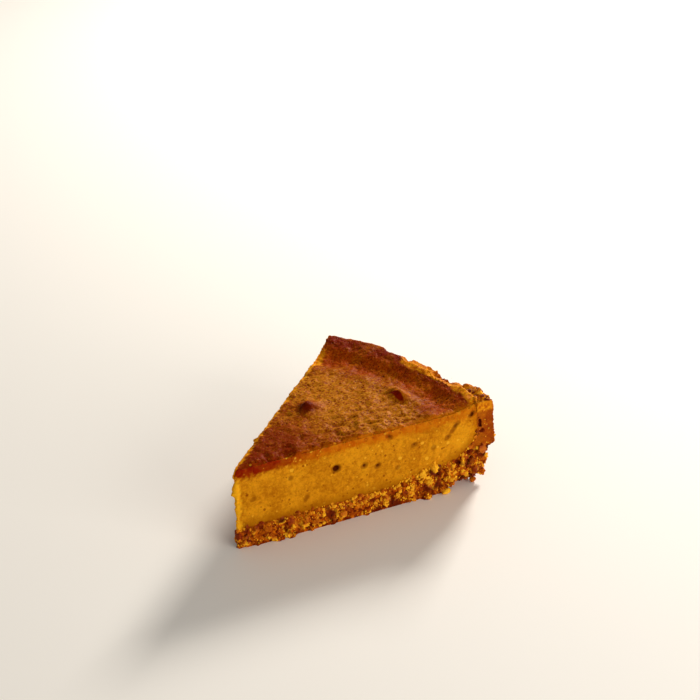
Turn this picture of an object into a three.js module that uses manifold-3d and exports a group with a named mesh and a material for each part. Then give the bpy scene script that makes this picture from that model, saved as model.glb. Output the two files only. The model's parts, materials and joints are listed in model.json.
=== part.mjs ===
// A slice of pumpkin pie: one eighth of a deep round pie, in a crust of pressed biscuit crumbs.
//
// Millimetres, +Z up. The slice stands on z = 0 and is symmetric about the XZ plane, apart from its crumbs,
// bubbles and browning. The middle of the pie, where the slice comes to its tip, is at x = pieMiddleX, and
// the slice runs along +X to its rim. It is two solids: the crust, which is a base that turns up into an
// outer wall, and the baked custard that fills it, with the browned top that has risen and sunk in the oven.

import * as THREE from "three";
import { ImprovedNoise } from "three/addons/math/ImprovedNoise.js";
import { MeshSurfaceSampler } from "three/addons/math/MeshSurfaceSampler.js";
import { mergeVertices } from "three/addons/utils/BufferGeometryUtils.js";
import Module from "manifold-3d";

const wasm = await Module();
wasm.setup();

const { degToRad, lerp, smoothstep, clamp } = THREE.MathUtils;

// ---------------------------------------------------------------- driving dimensions

const slicesInPie = 8;
const rimRadius = 114.6; // outside of the crust wall
const footRadius = 104; // where the crust leaves the plate
const seamRadius = 111.8; // its rounded foot ends here, in the seam where the wall was pressed onto the base
const seamHeight = 12;
const tipRadius = 1.6; // the cut tip is a little blunt
const pieMiddleX = -58.7;

const baseThickness = 8.4;
const cornerStart = 70; // radius where the base starts to thicken towards the wall
const cornerRise = 17; // height of the thick corner over the base
const wallInside = 108.2; // inside of the wall, above the corner
const wallHeight = 36; // top of the crust, under the lip of custard

const topHeight = 36.3; // of the custard, over most of the slice
const troughRadius = 95; // the custard sinks in a ring here, and climbs from it to the lip
const troughDepth = 1.2;
const troughWidth = 6;
const lipRise = 1.9;
const lipStart = 98;
const lipCrest = 108;
const lipReachCovered = 111; // the lip covers the rim on the +Y side of the slice
const lipReachBroken = 106.8; // and has broken away from it on the -Y side
const lipBreakAngle = degToRad(3);
const edgeRound = 1.5; // the knife has rounded the top edges of the cut faces
const highCorner = 1.6; // the crust stands this much higher at the -Y end of the rim

const highCornerAngles = [12, 17].map(degToRad); // it climbs from the first of these angles to the second

const gap = 0.3; // between the custard and the crust
const crumbsProud = 0.5; // how far the crust stands out of the custard's cut faces
const footFlare = 0.8; // and how much further at its foot, where the knife pushed crumbs out
const lumpSize = 5; // of the clumps that the cut and broken surfaces are made of
const flatInset = 3; // the underside is flat up to this far from its edges, and from there it rises
const edgeSlope = 0.12; // a little, because the crumbs there have worn away
const largestCrumb = 8;
const smallestCrumb = 2.6;
const crumbsOnCuts = 36; // on each cut face
const crumbsOnRim = 26;
const crumbsOnWall = 20;

// ---------------------------------------------------------------- numbers, noise and solids

const halfAngle = Math.PI / slicesInPie;
const perlin = new ImprovedNoise();

// Smooth noise from about -1 to 1, whose bumps are about size across.
function ripple(p, size, shift = 0) {
  return 1.6 * perlin.noise(p.x / size + shift, p.y / size - shift, p.z / size + 7.3);
}

// A number from 0 to 1 that depends only on its four inputs.
function scatter(x, y, z, k) {
  const s = Math.sin(x * 127.1 + y * 311.7 + z * 74.7 + k * 53.9) * 43758.5453;
  return s - Math.floor(s);
}

// Packed round lumps, size across: 1 on the crown of a lump and 0 in the gaps between lumps.
function lumps(p, size) {
  const q = p.clone().divideScalar(size);
  const cell = q.clone().floor();
  let nearest = Infinity;
  for (let i = -1; i <= 1; i++)
    for (let j = -1; j <= 1; j++)
      for (let k = -1; k <= 1; k++) {
        const x = cell.x + i;
        const y = cell.y + j;
        const z = cell.z + k;
        const dx = x + scatter(x, y, z, 1) - q.x;
        const dy = y + scatter(x, y, z, 2) - q.y;
        const dz = z + scatter(x, y, z, 3) - q.z;
        nearest = Math.min(nearest, dx * dx + dy * dy + dz * dz);
      }
  return 1 - clamp(nearest, 0, 1);
}

// A repeatable sequence of random numbers from 0 to 1.
function dice(seed) {
  let state = seed;
  return () => {
    state = (state * 1664525 + 1013904223) % 4294967296;
    return state / 4294967296;
  };
}

// Keeps only the positions of a geometry, with one vertex where faces meet.
function weld(geometry) {
  geometry.deleteAttribute("normal");
  geometry.deleteAttribute("uv");
  return mergeVertices(geometry, 1e-4);
}

// A closed box of cells whose vertices are moved to place(a, b, c), with a, b and c from 0 to 1.
function bentBox(cellsA, cellsB, cellsC, place) {
  const box = weld(new THREE.BoxGeometry(1, 1, 1, cellsA, cellsB, cellsC));
  const position = box.getAttribute("position");
  const grid = new THREE.Vector3();
  for (let i = 0; i < position.count; i++) {
    grid.fromBufferAttribute(position, i).addScalar(0.5);
    const p = place(clamp(grid.x, 0, 1), clamp(grid.y, 0, 1), clamp(grid.z, 0, 1));
    position.setXYZ(i, p.x, p.y, p.z);
  }
  return box;
}

function toSolid(geometry) {
  return new wasm.Manifold(
    new wasm.Mesh({
      numProp: 3,
      vertProperties: new Float32Array(geometry.getAttribute("position").array),
      triVerts: new Uint32Array(geometry.index.array),
    }),
  );
}

function toGeometry(solid) {
  const { vertProperties, triVerts } = solid.getMesh();
  const geometry = new THREE.BufferGeometry();
  geometry.setAttribute("position", new THREE.BufferAttribute(vertProperties, 3));
  geometry.setIndex(new THREE.BufferAttribute(triVerts, 1));
  return geometry;
}

// The largest body of a solid, without the scraps that a cut leaves.
function largest(solid) {
  return solid.decompose().reduce((a, b) => (a.volume() > b.volume() ? a : b));
}

// ---------------------------------------------------------------- the round pie

// A point of the pie from its polar coordinates: radius, angle from the slice's middle line, and height.
function onPie(radius, angle, height) {
  return new THREE.Vector3(pieMiddleX + radius * Math.cos(angle), radius * Math.sin(angle), height);
}

const angleAt = (b) => lerp(-halfAngle, halfAngle, b);

// The unit vector across the slice at an angle, which is the normal of a cut face at its end angles.
const across = (angle) => new THREE.Vector3(-Math.sin(angle), Math.cos(angle), 0);

// The crust's section is the band between two lines from the tip to the rim, each drawn as (radius, height).
const crustOutside = new THREE.Path()
  .moveTo(tipRadius, 0)
  .lineTo(footRadius, 0)
  .quadraticCurveTo(seamRadius - 1, seamHeight * 0.3, seamRadius, seamHeight)
  .lineTo(rimRadius, seamHeight + 3)
  .lineTo(rimRadius - 0.2, wallHeight);

const crustInside = new THREE.Path()
  .moveTo(tipRadius, baseThickness)
  .lineTo(cornerStart, baseThickness);
crustInside.absellipse(
  cornerStart, baseThickness + cornerRise, wallInside - cornerStart, cornerRise, -Math.PI / 2, 0, false,
);
crustInside.lineTo(wallInside - 1.2, wallHeight);

// The share of each line's way from tip to rim at which the base ends and the corner begins.
const cornerShare = (cornerStart - tipRadius) / crustInside.getLength();

// ---------------------------------------------------------------- custard

// Height of the browned top, with its sunken ring, its lip against the rim and its slow waves.
function topOfCustard(radius, angle) {
  const p = onPie(radius, angle, 0);
  const fromCut = radius * Math.sin(halfAngle - Math.abs(angle));
  const trough = troughDepth * Math.exp(-(((radius - troughRadius) / troughWidth) ** 2));
  const lip = lipRise * smoothstep(radius, lipStart, lipCrest) * (1 + 0.35 * ripple(p, 14, 3));
  const rounded = edgeRound * (1 - smoothstep(fromCut, 0, 2.2)) ** 2;
  return topHeight - trough + lip + 0.35 * ripple(p, 22) + 0.15 * ripple(p, 7, 5) - rounded;
}

// How far out the lip reaches over the rim.
function lipReach(angle) {
  const covered = smoothstep(angle, -lipBreakAngle, lipBreakAngle);
  const ragged = 0.7 * ripple(onPie(rimRadius, angle, 0), 6, 11);
  return lerp(lipReachBroken, lipReachCovered, covered) + ragged;
}

// The custard's box: a runs from tip to rim, b round the pie and c from the crust up to the top. A clearance
// of gap is its true shape, and a smaller one swells it into the room that the crust has to leave for it.
function custardPoint(a, b, c, clearance) {
  const swell = gap - clearance;
  const angle = angleAt(b);
  const onCrust = crustInside.getPoint(a);
  const slope = crustInside.getTangent(a);
  const floor = new THREE.Vector2(onCrust.x - slope.y * clearance, onCrust.y + slope.x * clearance);
  const pastCorner = Math.max(0, (a - cornerShare) / (1 - cornerShare));
  const topRadius = a < cornerShare ? floor.x : lerp(cornerStart, lipReach(angle), pastCorner);
  const top = topOfCustard(topRadius, angle) + (a < 1 ? swell : 0);
  const pastEnd = a === 0 ? -swell : a === 1 ? 2 * swell : 0;
  const p = onPie(lerp(floor.x, topRadius, c) + pastEnd, angle, lerp(floor.y, top, c));
  if (b === 0 || b === 1) {
    const texture = 0.25 * ripple(p, 9, 2) * Math.min(1, a / 0.1);
    p.addScaledVector(across(angle), Math.sign(angle) * (texture + swell));
  }
  return p;
}

// A low dome where steam lifted the skin, stretched along the pie and ending in a steeper blister.
function bubble({ radius, angle, length, width, rise }) {
  const dome = weld(new THREE.SphereGeometry(0.5, 14, 8));
  dome.scale(width, length, rise * 2);
  dome.rotateZ(angle);
  const { x, y } = onPie(radius, angle, 0);
  dome.translate(x, y, topOfCustard(radius, angle) - 0.1);
  return toSolid(dome);
}

const bubbles = [
  { radius: 53, angle: 13, length: 13, width: 10, rise: 1.2 },
  { radius: 52.5, angle: 13.5, length: 6.4, width: 5.6, rise: 2.6 },
  { radius: 87, angle: -6.5, length: 10, width: 6.4, rise: 1.8 },
].map((b) => ({ ...b, angle: degToRad(b.angle) }));

// A hole left by an air bubble in a cut face. side is -1 or 1, and along is the distance from the tip.
function airHole({ side, along, height, size }) {
  const hole = weld(new THREE.IcosahedronGeometry(size / 2, 0));
  hole.scale(1.1, 0.8, 1);
  hole.rotateZ(side * halfAngle);
  const p = onPie(along, side * halfAngle, height);
  return toSolid(hole.translate(p.x, p.y, p.z));
}

const airHoles = [
  { side: -1, along: 44, height: 24.8, size: 3 },
  { side: -1, along: 56.5, height: 22.7, size: 1.9 },
  { side: -1, along: 62.5, height: 21, size: 1.7 },
  { side: -1, along: 78.3, height: 26.3, size: 2.1 },
  { side: -1, along: 68, height: 31.8, size: 2 },
  { side: -1, along: 101, height: 20.5, size: 1.8 },
  { side: 1, along: 36, height: 21, size: 2.2 },
  { side: 1, along: 61, height: 27.5, size: 1.7 },
  { side: 1, along: 74, height: 18.5, size: 2.6 },
  { side: 1, along: 92, height: 25, size: 1.8 },
];

function makeCustard() {
  const block = toSolid(bentBox(40, 12, 4, (a, b, c) => custardPoint(a, b, c, gap)));
  const risen = bubbles.reduce((solid, b) => solid.add(bubble(b)), block);
  return largest(airHoles.reduce((solid, h) => solid.subtract(airHole(h)), risen));
}

// ---------------------------------------------------------------- crust

// How far the crust stands out of the cut faces at a height.
const proud = (height) => crumbsProud + footFlare * Math.max(0, 1 - height / baseThickness);

// The crust's box: a runs from tip to rim, b round the pie and c from outside to inside. Its cut faces,
// outer wall and rim are pushed in and out by the clumps of crumbs they are pressed from.
function crustPoint(a, b, c) {
  const angle = angleAt(b);
  const outside = crustOutside.getPoint(a);
  const inside = crustInside.getPoint(a);
  const radius = lerp(outside.x, inside.x, c);
  const height = lerp(outside.y, inside.y, c);
  const p = onPie(radius, angle, height);
  const rough = lumps(p, lumpSize) - 0.6;
  if (b === 0 || b === 1) {
    const nearTip = Math.min(1, radius / 14);
    const outward = proud(height) + 0.6 * ripple(p, 16, 4) + 1.8 * rough;
    p.addScaledVector(across(angle), Math.sign(angle) * nearTip * outward);
  }
  if (c === 0 && outside.y > 0) {
    const outward = new THREE.Vector3(Math.cos(angle), Math.sin(angle), 0);
    p.addScaledVector(outward, 1.2 * rough * Math.min(1, outside.y / 3));
  }
  if (a === 1) p.z += 1.8 * rough + highCorner * smoothstep(-angle, ...highCornerAngles);
  return p;
}

// One crumb: a pebble of few faces, uneven and turned at random. A detail of 1 gives a knobbly clump.
function crumb(at, size, random, detail = 0) {
  const pebble = weld(new THREE.IcosahedronGeometry(size / 2, detail));
  const position = pebble.getAttribute("position");
  for (let i = 0; i < position.count; i++) {
    const stretch = 0.75 + 0.5 * random();
    position.setXYZ(i, position.getX(i) * stretch, position.getY(i) * stretch, position.getZ(i) * stretch);
  }
  pebble.scale(1, 0.9, 0.75);
  pebble.rotateX(random() * Math.PI).rotateY(random() * Math.PI).rotateZ(random() * Math.PI);
  return toSolid(pebble.translate(at.x, at.y, at.z));
}

// Crumbs stuck in the part of a surface where within(point) holds, largest first. Each is sunk so far into
// the surface that sunk of its size is under it.
function crumbsOn(surface, count, sunk, random, within) {
  const position = surface.getAttribute("position");
  const chosen = new Float32Array(position.count);
  const p = new THREE.Vector3();
  for (let i = 0; i < position.count; i++) chosen[i] = within(p.fromBufferAttribute(position, i)) ? 1 : 0;
  const mesh = new THREE.Mesh(surface.clone().setAttribute("chosen", new THREE.BufferAttribute(chosen, 1)));
  const sampler = new MeshSurfaceSampler(mesh).setWeightAttribute("chosen").setRandomGenerator(random).build();
  return Array.from({ length: count }, (_, i) => {
    const at = new THREE.Vector3();
    const normal = new THREE.Vector3();
    sampler.sample(at, normal);
    const size = lerp(largestCrumb, smallestCrumb, Math.cbrt(i / count));
    return crumb(at.addScaledVector(normal, size * (0.5 - sunk)), size, random);
  });
}

// The clumps that the knife dragged out of the base on the -Y side: along the foot, in a heap that is
// smeared up over the custard, and at the corner under the wall. along is the distance from the tip.
const clumps = [
  { along: 14.5, height: 2.8, size: 6.4 },
  { along: 20.5, height: 2, size: 6 },
  { along: 26.5, height: 2.6, size: 6.4 },
  { along: 33, height: 2, size: 5 },
  { along: 50, height: 7.6, size: 4.4 },
  { along: 60, height: 1.6, size: 6.4 },
  { along: 64.7, height: 5.8, size: 5 },
  { along: 75.5, height: 8.2, size: 5.6 },
  { along: 80, height: 9.6, size: 7 },
  { along: 84.4, height: 1.6, size: 8.4 },
  { along: 85, height: 11.2, size: 6 },
  { along: 89.5, height: 12.8, size: 5 },
  { along: 95.4, height: 2.8, size: 6.6 },
  { along: 101.4, height: 12, size: 6.4 },
  { along: 107.6, height: 12.6, size: 5.4 },
];

function clump({ along, height, size }, random) {
  const at = onPie(along, -halfAngle, height).addScaledVector(across(-halfAngle), -proud(height));
  return crumb(at, size, random, 1);
}

// Where pieces of the rim have broken off, by the place and size of what is missing.
const bites = [
  { angle: -12.2, radius: 116, height: 38.6, size: 8 },
  { angle: -8.8, radius: 112.6, height: 38.4, size: 8.6 },
  { angle: -3.6, radius: 116.6, height: 39, size: 10 },
  { angle: 1, radius: 117, height: 39, size: 9.6 },
  { angle: 6.4, radius: 115.6, height: 38.8, size: 10.4 },
].map((b) => ({ ...b, angle: degToRad(b.angle) }));

// A block that holds the whole slice, over a flat underside with few corners and gently rising edges. The
// corners are near the tip, at the two ends of the rim and at its middle, so that the slice stands steadily.
function overPlate() {
  const side = footRadius - flatInset;
  const turn = halfAngle - Math.asin(flatInset / side);
  const corner = (radius, angle) => onPie(radius, angle, 0);
  const tip = corner(tipRadius + flatInset, 0);
  const flat = new THREE.Shape(
    [tip, corner(side, -turn), corner(side + 2, 0), corner(side, turn)].map((p) => new THREE.Vector2(p.x, p.y)),
  );
  const reach = 16;
  const rise = reach * edgeSlope;
  const block = new THREE.ExtrudeGeometry(flat, {
    depth: 60, bevelSize: reach, bevelThickness: rise, bevelSegments: 1,
  });
  return toSolid(weld(block.translate(0, 0, rise)));
}

function makeCrust() {
  const surface = bentBox(56, 12, 4, crustPoint);
  const fromCut = (p, side) => {
    const radius = Math.hypot(p.x - pieMiddleX, p.y);
    return radius * Math.sin(halfAngle - side * Math.atan2(p.y, p.x - pieMiddleX));
  };
  const random = dice(20);
  const crumbs = [
    ...clumps.map((c) => clump(c, random)),
    ...crumbsOn(surface, crumbsOnCuts, 0.66, random, (p) => fromCut(p, -1) < 0.1),
    ...crumbsOn(surface, crumbsOnCuts, 0.66, random, (p) => fromCut(p, 1) < 0.1),
    ...crumbsOn(surface, crumbsOnRim, 0.6, random, (p) => p.z > wallHeight - 2),
    ...crumbsOn(surface, crumbsOnWall, 0.76, random, (p) => Math.hypot(p.x - pieMiddleX, p.y) > footRadius + 5),
  ];
  const crumbly = crumbs.reduce((solid, c) => solid.add(c), toSolid(surface));
  const room = toSolid(bentBox(40, 12, 4, (a, b, c) => custardPoint(a, b, c, gap / 2)));
  const bitten = bites.reduce(
    (solid, b) => solid.subtract(crumb(onPie(b.radius, b.angle, b.height), b.size, random, 1)),
    crumbly.subtract(room),
  );
  return largest(bitten.intersect(overPlate()));
}

// ---------------------------------------------------------------- the slice

function piece(name, solid, color, roughness) {
  const material = new THREE.MeshStandardMaterial({ color, roughness, metalness: 0, flatShading: true });
  const mesh = new THREE.Mesh(toGeometry(solid), material);
  mesh.name = name;
  return mesh;
}

const slice = new THREE.Group();
slice.name = "pumpkin_pie_slice";
slice.add(piece("crust", makeCrust(), 0xb8741c, 0.9));
slice.add(piece("custard", makeCustard(), 0xc8801e, 0.6));

export default slice;
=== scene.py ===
# %% [markdown]
# A slice of pumpkin pie, cut from a deep round one: a thick baked custard with a browned skin, in a crust
# of pressed biscuit crumbs. The solids that this lesson starts from have the right size and the main
# shapes. What they lack is what makes it food: thousands of crumbs, a skin that has wrinkled and
# blistered, pores where the knife went through, and the colours of baking. The lesson makes the pie
# much as a baker would: press the crust, pour the filling, bake it brown, and cut the slice last.

# %% The frame
import json
import math
import random

import bmesh
import bpy
from mathutils import Matrix, Vector

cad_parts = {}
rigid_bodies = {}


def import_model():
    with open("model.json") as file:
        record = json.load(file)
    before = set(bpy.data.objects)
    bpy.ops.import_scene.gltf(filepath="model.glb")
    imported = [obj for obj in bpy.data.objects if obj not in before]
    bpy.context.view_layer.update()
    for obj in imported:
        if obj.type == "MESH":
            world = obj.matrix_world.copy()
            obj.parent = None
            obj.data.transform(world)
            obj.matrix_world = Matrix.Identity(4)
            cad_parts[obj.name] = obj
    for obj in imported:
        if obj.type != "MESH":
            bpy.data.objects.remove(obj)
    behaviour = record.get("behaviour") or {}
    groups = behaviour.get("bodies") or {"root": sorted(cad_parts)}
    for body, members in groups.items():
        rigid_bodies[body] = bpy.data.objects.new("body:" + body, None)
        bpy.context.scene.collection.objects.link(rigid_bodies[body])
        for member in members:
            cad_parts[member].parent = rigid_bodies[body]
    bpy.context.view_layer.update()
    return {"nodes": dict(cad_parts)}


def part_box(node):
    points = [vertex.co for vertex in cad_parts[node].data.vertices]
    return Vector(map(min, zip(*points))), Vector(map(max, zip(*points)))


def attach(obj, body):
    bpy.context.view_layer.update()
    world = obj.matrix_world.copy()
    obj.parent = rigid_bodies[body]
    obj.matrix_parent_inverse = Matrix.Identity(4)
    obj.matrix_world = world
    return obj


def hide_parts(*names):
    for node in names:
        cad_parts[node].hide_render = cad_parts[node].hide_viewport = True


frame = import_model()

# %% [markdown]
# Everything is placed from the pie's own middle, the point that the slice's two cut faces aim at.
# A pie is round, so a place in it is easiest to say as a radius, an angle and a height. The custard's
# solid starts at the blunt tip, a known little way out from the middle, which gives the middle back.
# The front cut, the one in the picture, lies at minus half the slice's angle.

MM = 0.001
HALF_ANGLE = math.pi / 8
FRONT_CUT = -22.5
TIP_RADIUS = 1.6 * MM
custard_low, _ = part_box("custard")
MIDDLE = Vector((custard_low.x - TIP_RADIUS * math.cos(HALF_ANGLE), 0, 0))


def on_pie(radius, angle, height):
    """A point from its radius and height in mm, and its angle in degrees from the slice's middle line."""
    turn = math.radians(angle)
    return MIDDLE + Vector((radius * math.cos(turn), radius * math.sin(turn), height)) * MM


print("the pie's middle is at x =", round(MIDDLE.x / MM, 2), "mm")

# %% [markdown]
# The hands: a few moves that every piece below uses. Operators act on whatever is selected, so each
# move first lets go of everything and then takes hold of one piece, or of the corners that it names.

# %% Moves used throughout
def hold(piece):
    """Lets go of everything and takes hold of one piece."""
    if bpy.context.object and bpy.context.object.mode == "EDIT":
        bpy.ops.object.mode_set(mode="OBJECT")
    bpy.ops.object.select_all(action="DESELECT")
    piece.select_set(True)
    bpy.context.view_layer.objects.active = piece
    return piece


def pick(piece, wanted):
    """Goes into the mesh and selects the vertices whose place is wanted."""
    hold(piece)
    bpy.ops.object.mode_set(mode="EDIT")
    bpy.ops.mesh.select_mode(type="VERT")
    bpy.ops.mesh.select_all(action="DESELECT")
    mesh = bmesh.from_edit_mesh(piece.data)
    for vertex in mesh.verts:
        vertex.select = wanted(vertex.co)
    mesh.select_flush(True)
    bmesh.update_edit_mesh(piece.data)


def done():
    """Comes back out of the mesh."""
    bpy.ops.object.mode_set(mode="OBJECT")


def settle():
    """Makes the place, turn and scale of what is held a part of its mesh."""
    bpy.ops.object.transform_apply(location=True, rotation=True, scale=True)


def finish_with(piece, kind, **settings):
    """Adds a modifier and applies it."""
    hold(piece)
    modifier = piece.modifiers.new(kind, kind)
    for name, value in settings.items():
        setattr(modifier, name, value)
    bpy.ops.object.modifier_apply(modifier=modifier.name)
    return piece


def count(piece):
    """The triangles in a piece."""
    return sum(len(face.vertices) - 2 for face in piece.data.polygons)


for node in frame["nodes"].values():
    node.select_set(False)

# %% [markdown]
# Both parts of a pie are turned shapes, so each starts as a line drawn in its section, from the middle
# out and back, and the line is spun right round. A single vertex is pulled along with extrude, one
# step for each corner of the line. Then the slice is cut out of the whole pie with two straight cuts of
# bisect, just as a knife does it, and a third takes off the very point, which no knife leaves whole.
# Corners nearer to each other than SAME_PLACE, in mm, are made one.

# %% Turning a pie and cutting a slice
SPIN_STEPS = 192
SAME_PLACE = 0.002


def turn_a_pie(name, line):
    """Spins a line of (radius, height) in mm round the pie's middle."""
    bpy.ops.mesh.primitive_plane_add(size=MM, location=on_pie(line[0][0], 0, line[0][1]))
    piece = hold(bpy.context.object)
    piece.name = piece.data.name = name
    settle()
    bpy.ops.object.mode_set(mode="EDIT")
    bpy.ops.mesh.select_all(action="SELECT")
    bpy.ops.mesh.merge(type="CENTER")
    for here, there in zip(line, line[1:]):
        step = on_pie(there[0], 0, there[1]) - on_pie(here[0], 0, here[1])
        bpy.ops.mesh.extrude_region_move(TRANSFORM_OT_translate={"value": step})
    bpy.ops.mesh.select_all(action="SELECT")
    bpy.ops.mesh.spin(steps=SPIN_STEPS, angle=math.tau, center=MIDDLE, axis=(0, 0, 1))
    bpy.ops.mesh.select_all(action="SELECT")
    bpy.ops.mesh.remove_doubles(threshold=SAME_PLACE * MM)
    bpy.ops.mesh.normals_make_consistent(inside=False)
    done()
    return piece


def knife(piece, place, away):
    """Cuts the piece at a place, and takes away the side that away points to."""
    pick(piece, lambda co: True)
    bpy.ops.mesh.bisect(plane_co=place, plane_no=away, use_fill=True, clear_outer=True)
    done()


def out_of_cut(side):
    """The direction out of a cut face. side is -1 for the front one and 1 for the back one."""
    turn = side * HALF_ANGLE
    return Vector((-math.sin(turn), math.cos(turn), 0)) * side


def cut_a_slice(piece, outward=0.0):
    """Leaves one eighth of a pie. Its cut faces stand outward mm outside the knife's own planes."""
    for side in (-1, 1):
        away = out_of_cut(side)
        knife(piece, MIDDLE + away * outward * MM, away)
    knife(piece, MIDDLE + Vector((TIP_RADIUS * math.cos(HALF_ANGLE), 0, 0)), Vector((-1, 0, 0)))


def quarter_round(start, end, steps):
    """The corner from a flat base at start up to an upright wall at end, as a quarter of an ellipse."""
    (r0, z0), (r1, z1) = start, end
    turns = [math.pi / 2 * step / steps for step in range(1, steps)]
    return [(r0 + (r1 - r0) * math.sin(t), z1 - (z1 - z0) * math.cos(t)) for t in turns]


# %% [markdown]
# The custard fills the crust. Its line runs along the crust's base, round the thick corner and up the
# wall, out over the rim in a lip, and back along the top, which sank in a ring just inside the lip
# when the pie cooled. Some of the lip has broken off one half of the slice, so there it is pulled
# in towards the middle before the slice is cut.

# %% Pouring the custard
BASE = 8.5
CORNER_START, WALL_INSIDE, CORNER_TOP = 70, 108.2, 25.4
CORNER_STEPS = 12
OVERLAP = 1.1
TOP = 36.3
LIP = [(109.3, 35.9), (111, 36.3), (113.6, 36.8), (114, 37.7), (112.4, 38.7), (108.6, 38.8)]
TROUGH = [(105.5, 38.1), (103, 37.6), (100.5, 37), (98, 36.5), (95, 36.2), (91, 36.2)]

low, out = BASE - OVERLAP, WALL_INSIDE + OVERLAP
custard_corner = quarter_round((CORNER_START, low), (out, CORNER_TOP), CORNER_STEPS)
custard_line = [(0, low), (CORNER_START, low), *custard_corner, (out, CORNER_TOP), *LIP, *TROUGH, (0, TOP)]
custard = turn_a_pie("custard_filling", custard_line)


def polar(co):
    """The radius in mm and angle in degrees of a point of the pie."""
    return math.hypot(co.x - MIDDLE.x, co.y) / MM, math.degrees(math.atan2(co.y, co.x - MIDDLE.x))


LIP_REACH = [((-40, -13.5), 109.2), ((-13.5, -6.5), 106.2), ((-6.5, 2.6), 108.2), ((2.6, 8.8), 110.4)]
LIP_FROM = 36.1
for (from_angle, to_angle), reach in LIP_REACH:
    for vertex in custard.data.vertices:
        radius, angle = polar(vertex.co)
        if radius > reach and vertex.co.z > LIP_FROM * MM and from_angle < angle <= to_angle:
            vertex.co = on_pie(reach, angle, vertex.co.z / MM)
cut_a_slice(custard)
print("custard:", count(custard), "triangles")

# %% [markdown]
# Air bubbles in the custard were cut open by the knife. Each is a small ball, taken out of the block
# with a boolean, so that it is a real hollow. Where the custard shrank it also tore, just under the skin
# and along the wall: a tear is the same ball, drawn out long and thin and tilted. A place is given as
# the distance along the cut face and the height in mm, then comes the length, the width and the tilt.

# %% Air holes and tears in the cut faces
FRONT_HOLES = [
    (44, 24.8, 3.3, 3.0, 0), (56.5, 22.7, 2.2, 1.6, 20), (62.5, 21, 2.1, 1.5, 30), (79, 26.2, 2.4, 0.9, 15),
    (67.8, 32.8, 2.4, 1, -50), (105, 15.7, 1.8, 1.7, 0), (94.5, 25.6, 2.4, 1, 30), (97.6, 29.4, 6, 1, 50),
    (105.6, 33.4, 3, 1.1, 35), (109.4, 28.4, 6.4, 1.4, -78), (110.8, 24.4, 2.6, 1.3, -20),
    (8.5, 21, 1.5, 0.9, 30), (31, 14.8, 2.4, 0.8, 65), (71.6, 17.6, 1.1, 0.9, 0), (24.5, 26, 1.1, 0.9, 0),
    (88, 22.4, 1.1, 0.9, 0),
]
BACK_HOLES = [
    (36, 21, 2.2, 1.9, 0), (61, 27.5, 1.8, 1.4, 20), (74, 18.5, 2.7, 2.4, 0), (92, 25, 2, 1.5, 0),
    (22, 27, 1.4, 1.1, 0), (48, 16, 1.2, 1, 0), (84, 29, 1.3, 1, 0), (101, 22, 5, 1, 60), (55, 30, 1.2, 1, 0),
]


def ball(place, size, stretch=(1, 1, 1), turns=(0, 0, 0)):
    """A small round ball of the given size in mm, stretched and then turned."""
    bpy.ops.mesh.primitive_ico_sphere_add(
        subdivisions=2, radius=size / 2 * MM, location=place, scale=stretch, rotation=turns)
    settle()
    return bpy.context.object


def join(pieces, name):
    """Makes one piece of several."""
    hold(pieces[0])
    for piece in pieces:
        piece.select_set(True)
    bpy.ops.object.join()
    joined = bpy.context.object
    joined.name = joined.data.name = name
    return joined


def take_out(piece, hollow):
    """Cuts the shape of one piece out of another."""
    finish_with(piece, "BOOLEAN", object=hollow, operation="DIFFERENCE", solver="EXACT", use_self=True)


def hole(side, along, height, length, width, tilt):
    """A bubble or tear across a cut face, on one side of the slice."""
    turns = (0, -math.radians(tilt), side * HALF_ANGLE)
    place = on_pie(along, side * math.degrees(HALF_ANGLE), height)
    return ball(place, 1, (length, (length + width) / 2, width), turns)


holes = [hole(-1, *place) for place in FRONT_HOLES] + [hole(1, *place) for place in BACK_HOLES]
air = join(holes, "air")
take_out(custard, air)
print("air holes and tears:", len(holes))

# %% [markdown]
# The crust is spun and cut in the same way. It stands a third of a millimetre proud of the custard,
# because the crumbs spring back from the knife where the custard doesn't, and its foot is pushed out a
# little more, by a translate along each cut face's own direction, everywhere but at the tip. The rim is
# raised at the slice's front corner. The underside is flat, as it was in the tin.

# %% Pressing the crust
WALL = 36.0
FOOT = [(100, 0), (105, 0.1), (109, 0.8), (111.4, 2.6), (112.6, 5.4), (112.8, 9), (113.6, 11.6),
        (114.6, 14.2)]
OUTSIDE = [(116.8, 16.4), (117, 20.5), (116.2, 27), (115.6, WALL - 1), (114.2, WALL)]
CRUST_PROUD = 0.3
RIM_FROM = 34.9
RAISED = [((-40, -13.5), 2.2), ((-13.5, 4), 0.4)]
FOOT_HEIGHT, FOOT_PUSH, FOOT_FROM = 0.5, 0.8, 6

corner = quarter_round((CORNER_START, BASE), (WALL_INSIDE, CORNER_TOP), CORNER_STEPS)
crust_line = [(0, 0), *FOOT, *OUTSIDE, (107.4, WALL),
              (WALL_INSIDE, CORNER_TOP), *reversed(corner), (CORNER_START, BASE), (0, BASE)]
crust = turn_a_pie("crumb_crust", crust_line)
for (from_angle, to_angle), raised in RAISED:
    pick(crust, lambda co: co.z > RIM_FROM * MM and from_angle < polar(co)[1] <= to_angle)
    bpy.ops.transform.translate(value=(0, 0, raised * MM))
    done()
cut_a_slice(crust, outward=CRUST_PROUD)


def at_foot(co, outward):
    """Whether a place is at the foot of the cut face that outward points out of."""
    on_face = (co - MIDDLE).dot(outward) > -0.1 * MM
    return on_face and co.z < FOOT_HEIGHT * MM and polar(co)[0] > FOOT_FROM


for side in (-1, 1):
    outward = out_of_cut(side)
    pick(crust, lambda co: at_foot(co, outward))
    bpy.ops.transform.translate(value=outward * FOOT_PUSH * MM)
    done()
print("crust:", count(crust), "triangles")

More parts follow.
